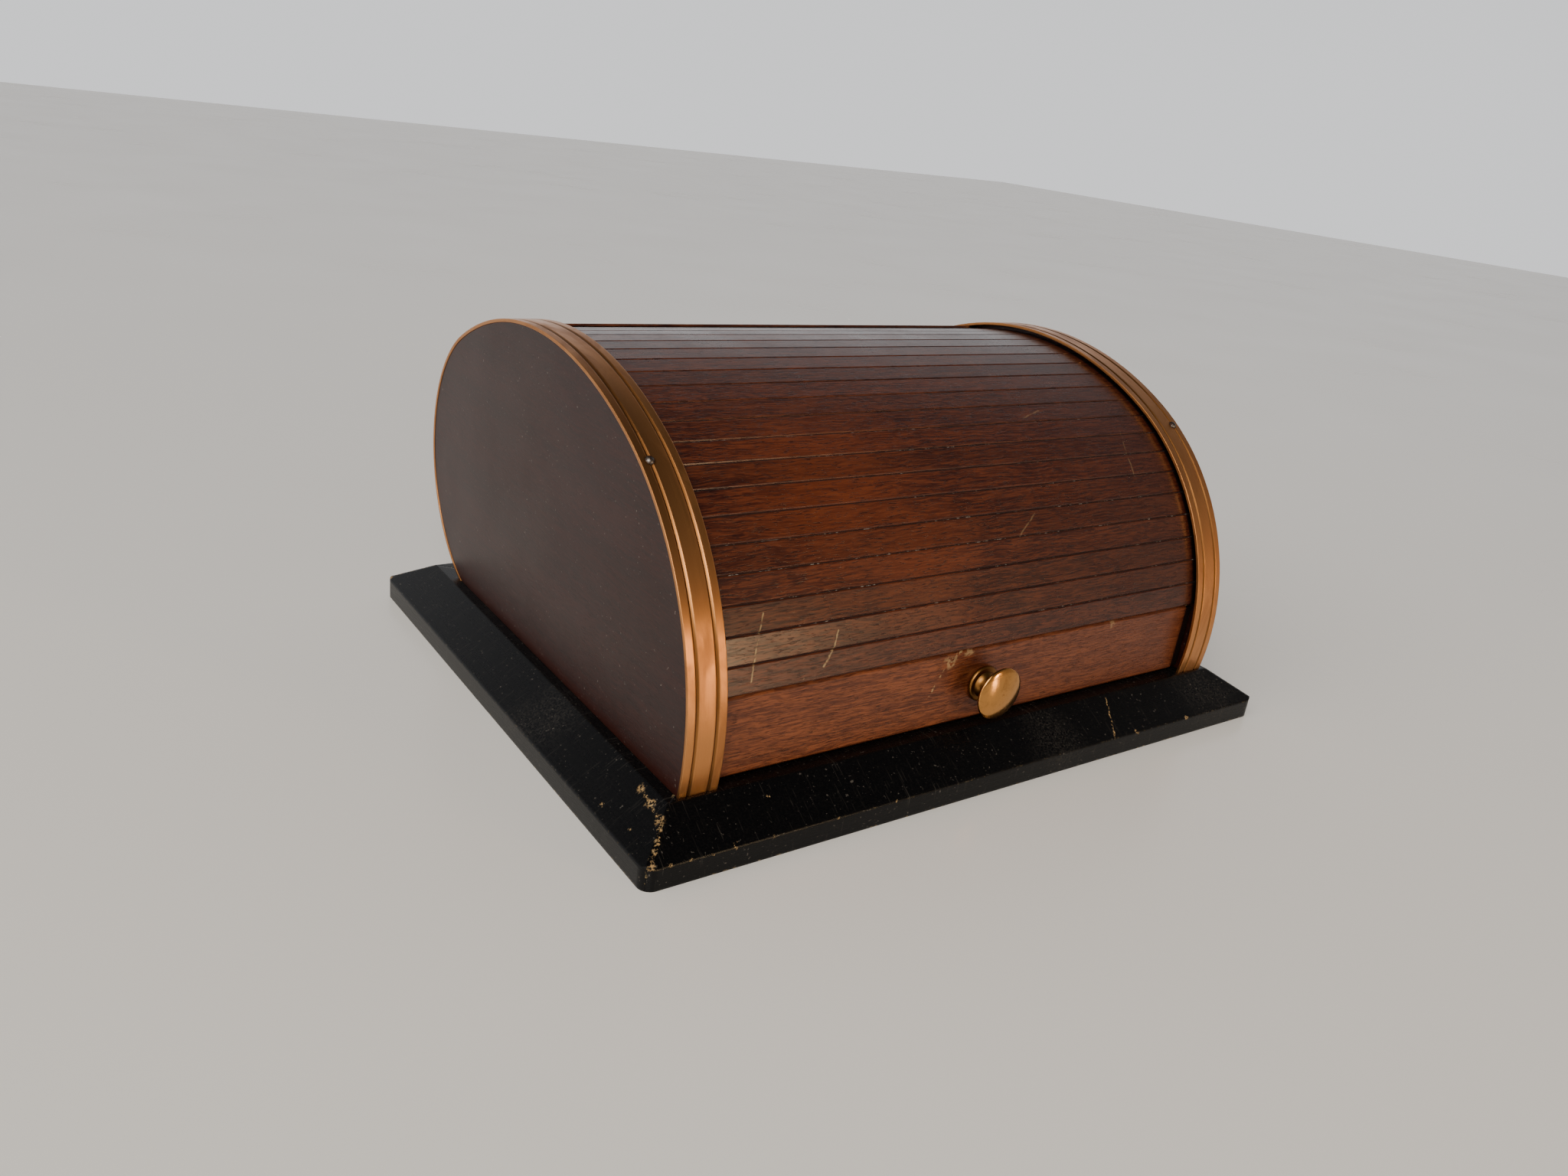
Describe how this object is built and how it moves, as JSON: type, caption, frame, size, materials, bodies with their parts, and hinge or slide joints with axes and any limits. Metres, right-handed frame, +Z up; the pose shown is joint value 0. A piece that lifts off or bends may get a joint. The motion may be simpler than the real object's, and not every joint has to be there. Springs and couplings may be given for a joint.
{
  "type": "tambour lid box",
  "caption": "Desk-top box with D-shaped mahogany ends bound in brass, a bevelled black plinth and a curved lid of narrow slats that slides up and back by a brass knob.",
  "frame": {"origin": "middle of the plinth's underside", "axes": "+X along the slats, -Y is the front with the knob, +Z up"},
  "size_m": [0.2, 0.1606, 0.0933],
  "materials": {
    "ebonised_wood": "black lacquer, satin, worn",
    "dark_mahogany": "stained and polished",
    "red_mahogany": "oiled, with open grain along the slat",
    "rail_mahogany": "worn polish, lighter than the slats",
    "pale_wood": "planed, unfinished",
    "brass_strip": "rolled strip, scratch-brushed",
    "turned_brass": "turned and polished",
    "steel": "plain steel",
    "linen": "plain-woven backing cloth"
  },
  "bodies": {
    "case": {"base_board": "pale_wood", "plinth_front": "ebonised_wood", "plinth_back": "ebonised_wood", "plinth_left": "ebonised_wood", "plinth_right": "ebonised_wood", "cheek_left": "dark_mahogany", "cheek_right": "dark_mahogany", "runner_left": "pale_wood", "runner_right": "pale_wood", "band_left": "brass_strip", "band_right": "brass_strip", "band_pins_left": "brass_strip", "band_pins_right": "brass_strip", "back_panel": "red_mahogany", "stop_block_left": "pale_wood", "stop_block_right": "pale_wood", "floor_panel": "pale_wood", "cheek_screws": "steel"},
    "tambour": {"slat_01": "red_mahogany", "slat_02": "red_mahogany", "slat_03": "red_mahogany", "slat_04": "red_mahogany", "slat_05": "red_mahogany", "slat_06": "red_mahogany", "slat_07": "red_mahogany", "slat_08": "red_mahogany", "slat_09": "red_mahogany", "slat_10": "red_mahogany", "slat_11": "red_mahogany", "slat_12": "red_mahogany", "slat_13": "red_mahogany", "slat_14": "red_mahogany", "slat_15": "red_mahogany", "slat_16": "red_mahogany", "slat_17": "red_mahogany", "slat_18": "red_mahogany", "slat_19": "red_mahogany", "slat_20": "red_mahogany", "slat_21": "red_mahogany", "lead_rail": "rail_mahogany", "canvas": "linen", "batten": "pale_wood", "batten_tacks": "steel", "knob": "turned_brass", "knob_screw": "steel"}
  },
  "joints": [
    {"name": "tambour", "type": "hinge", "parent": "case", "child": "tambour", "pos_m": [0, -0.00385, 0.0233], "axis": [-1, 0, 0], "range_deg": [0, 48]}
  ]
}
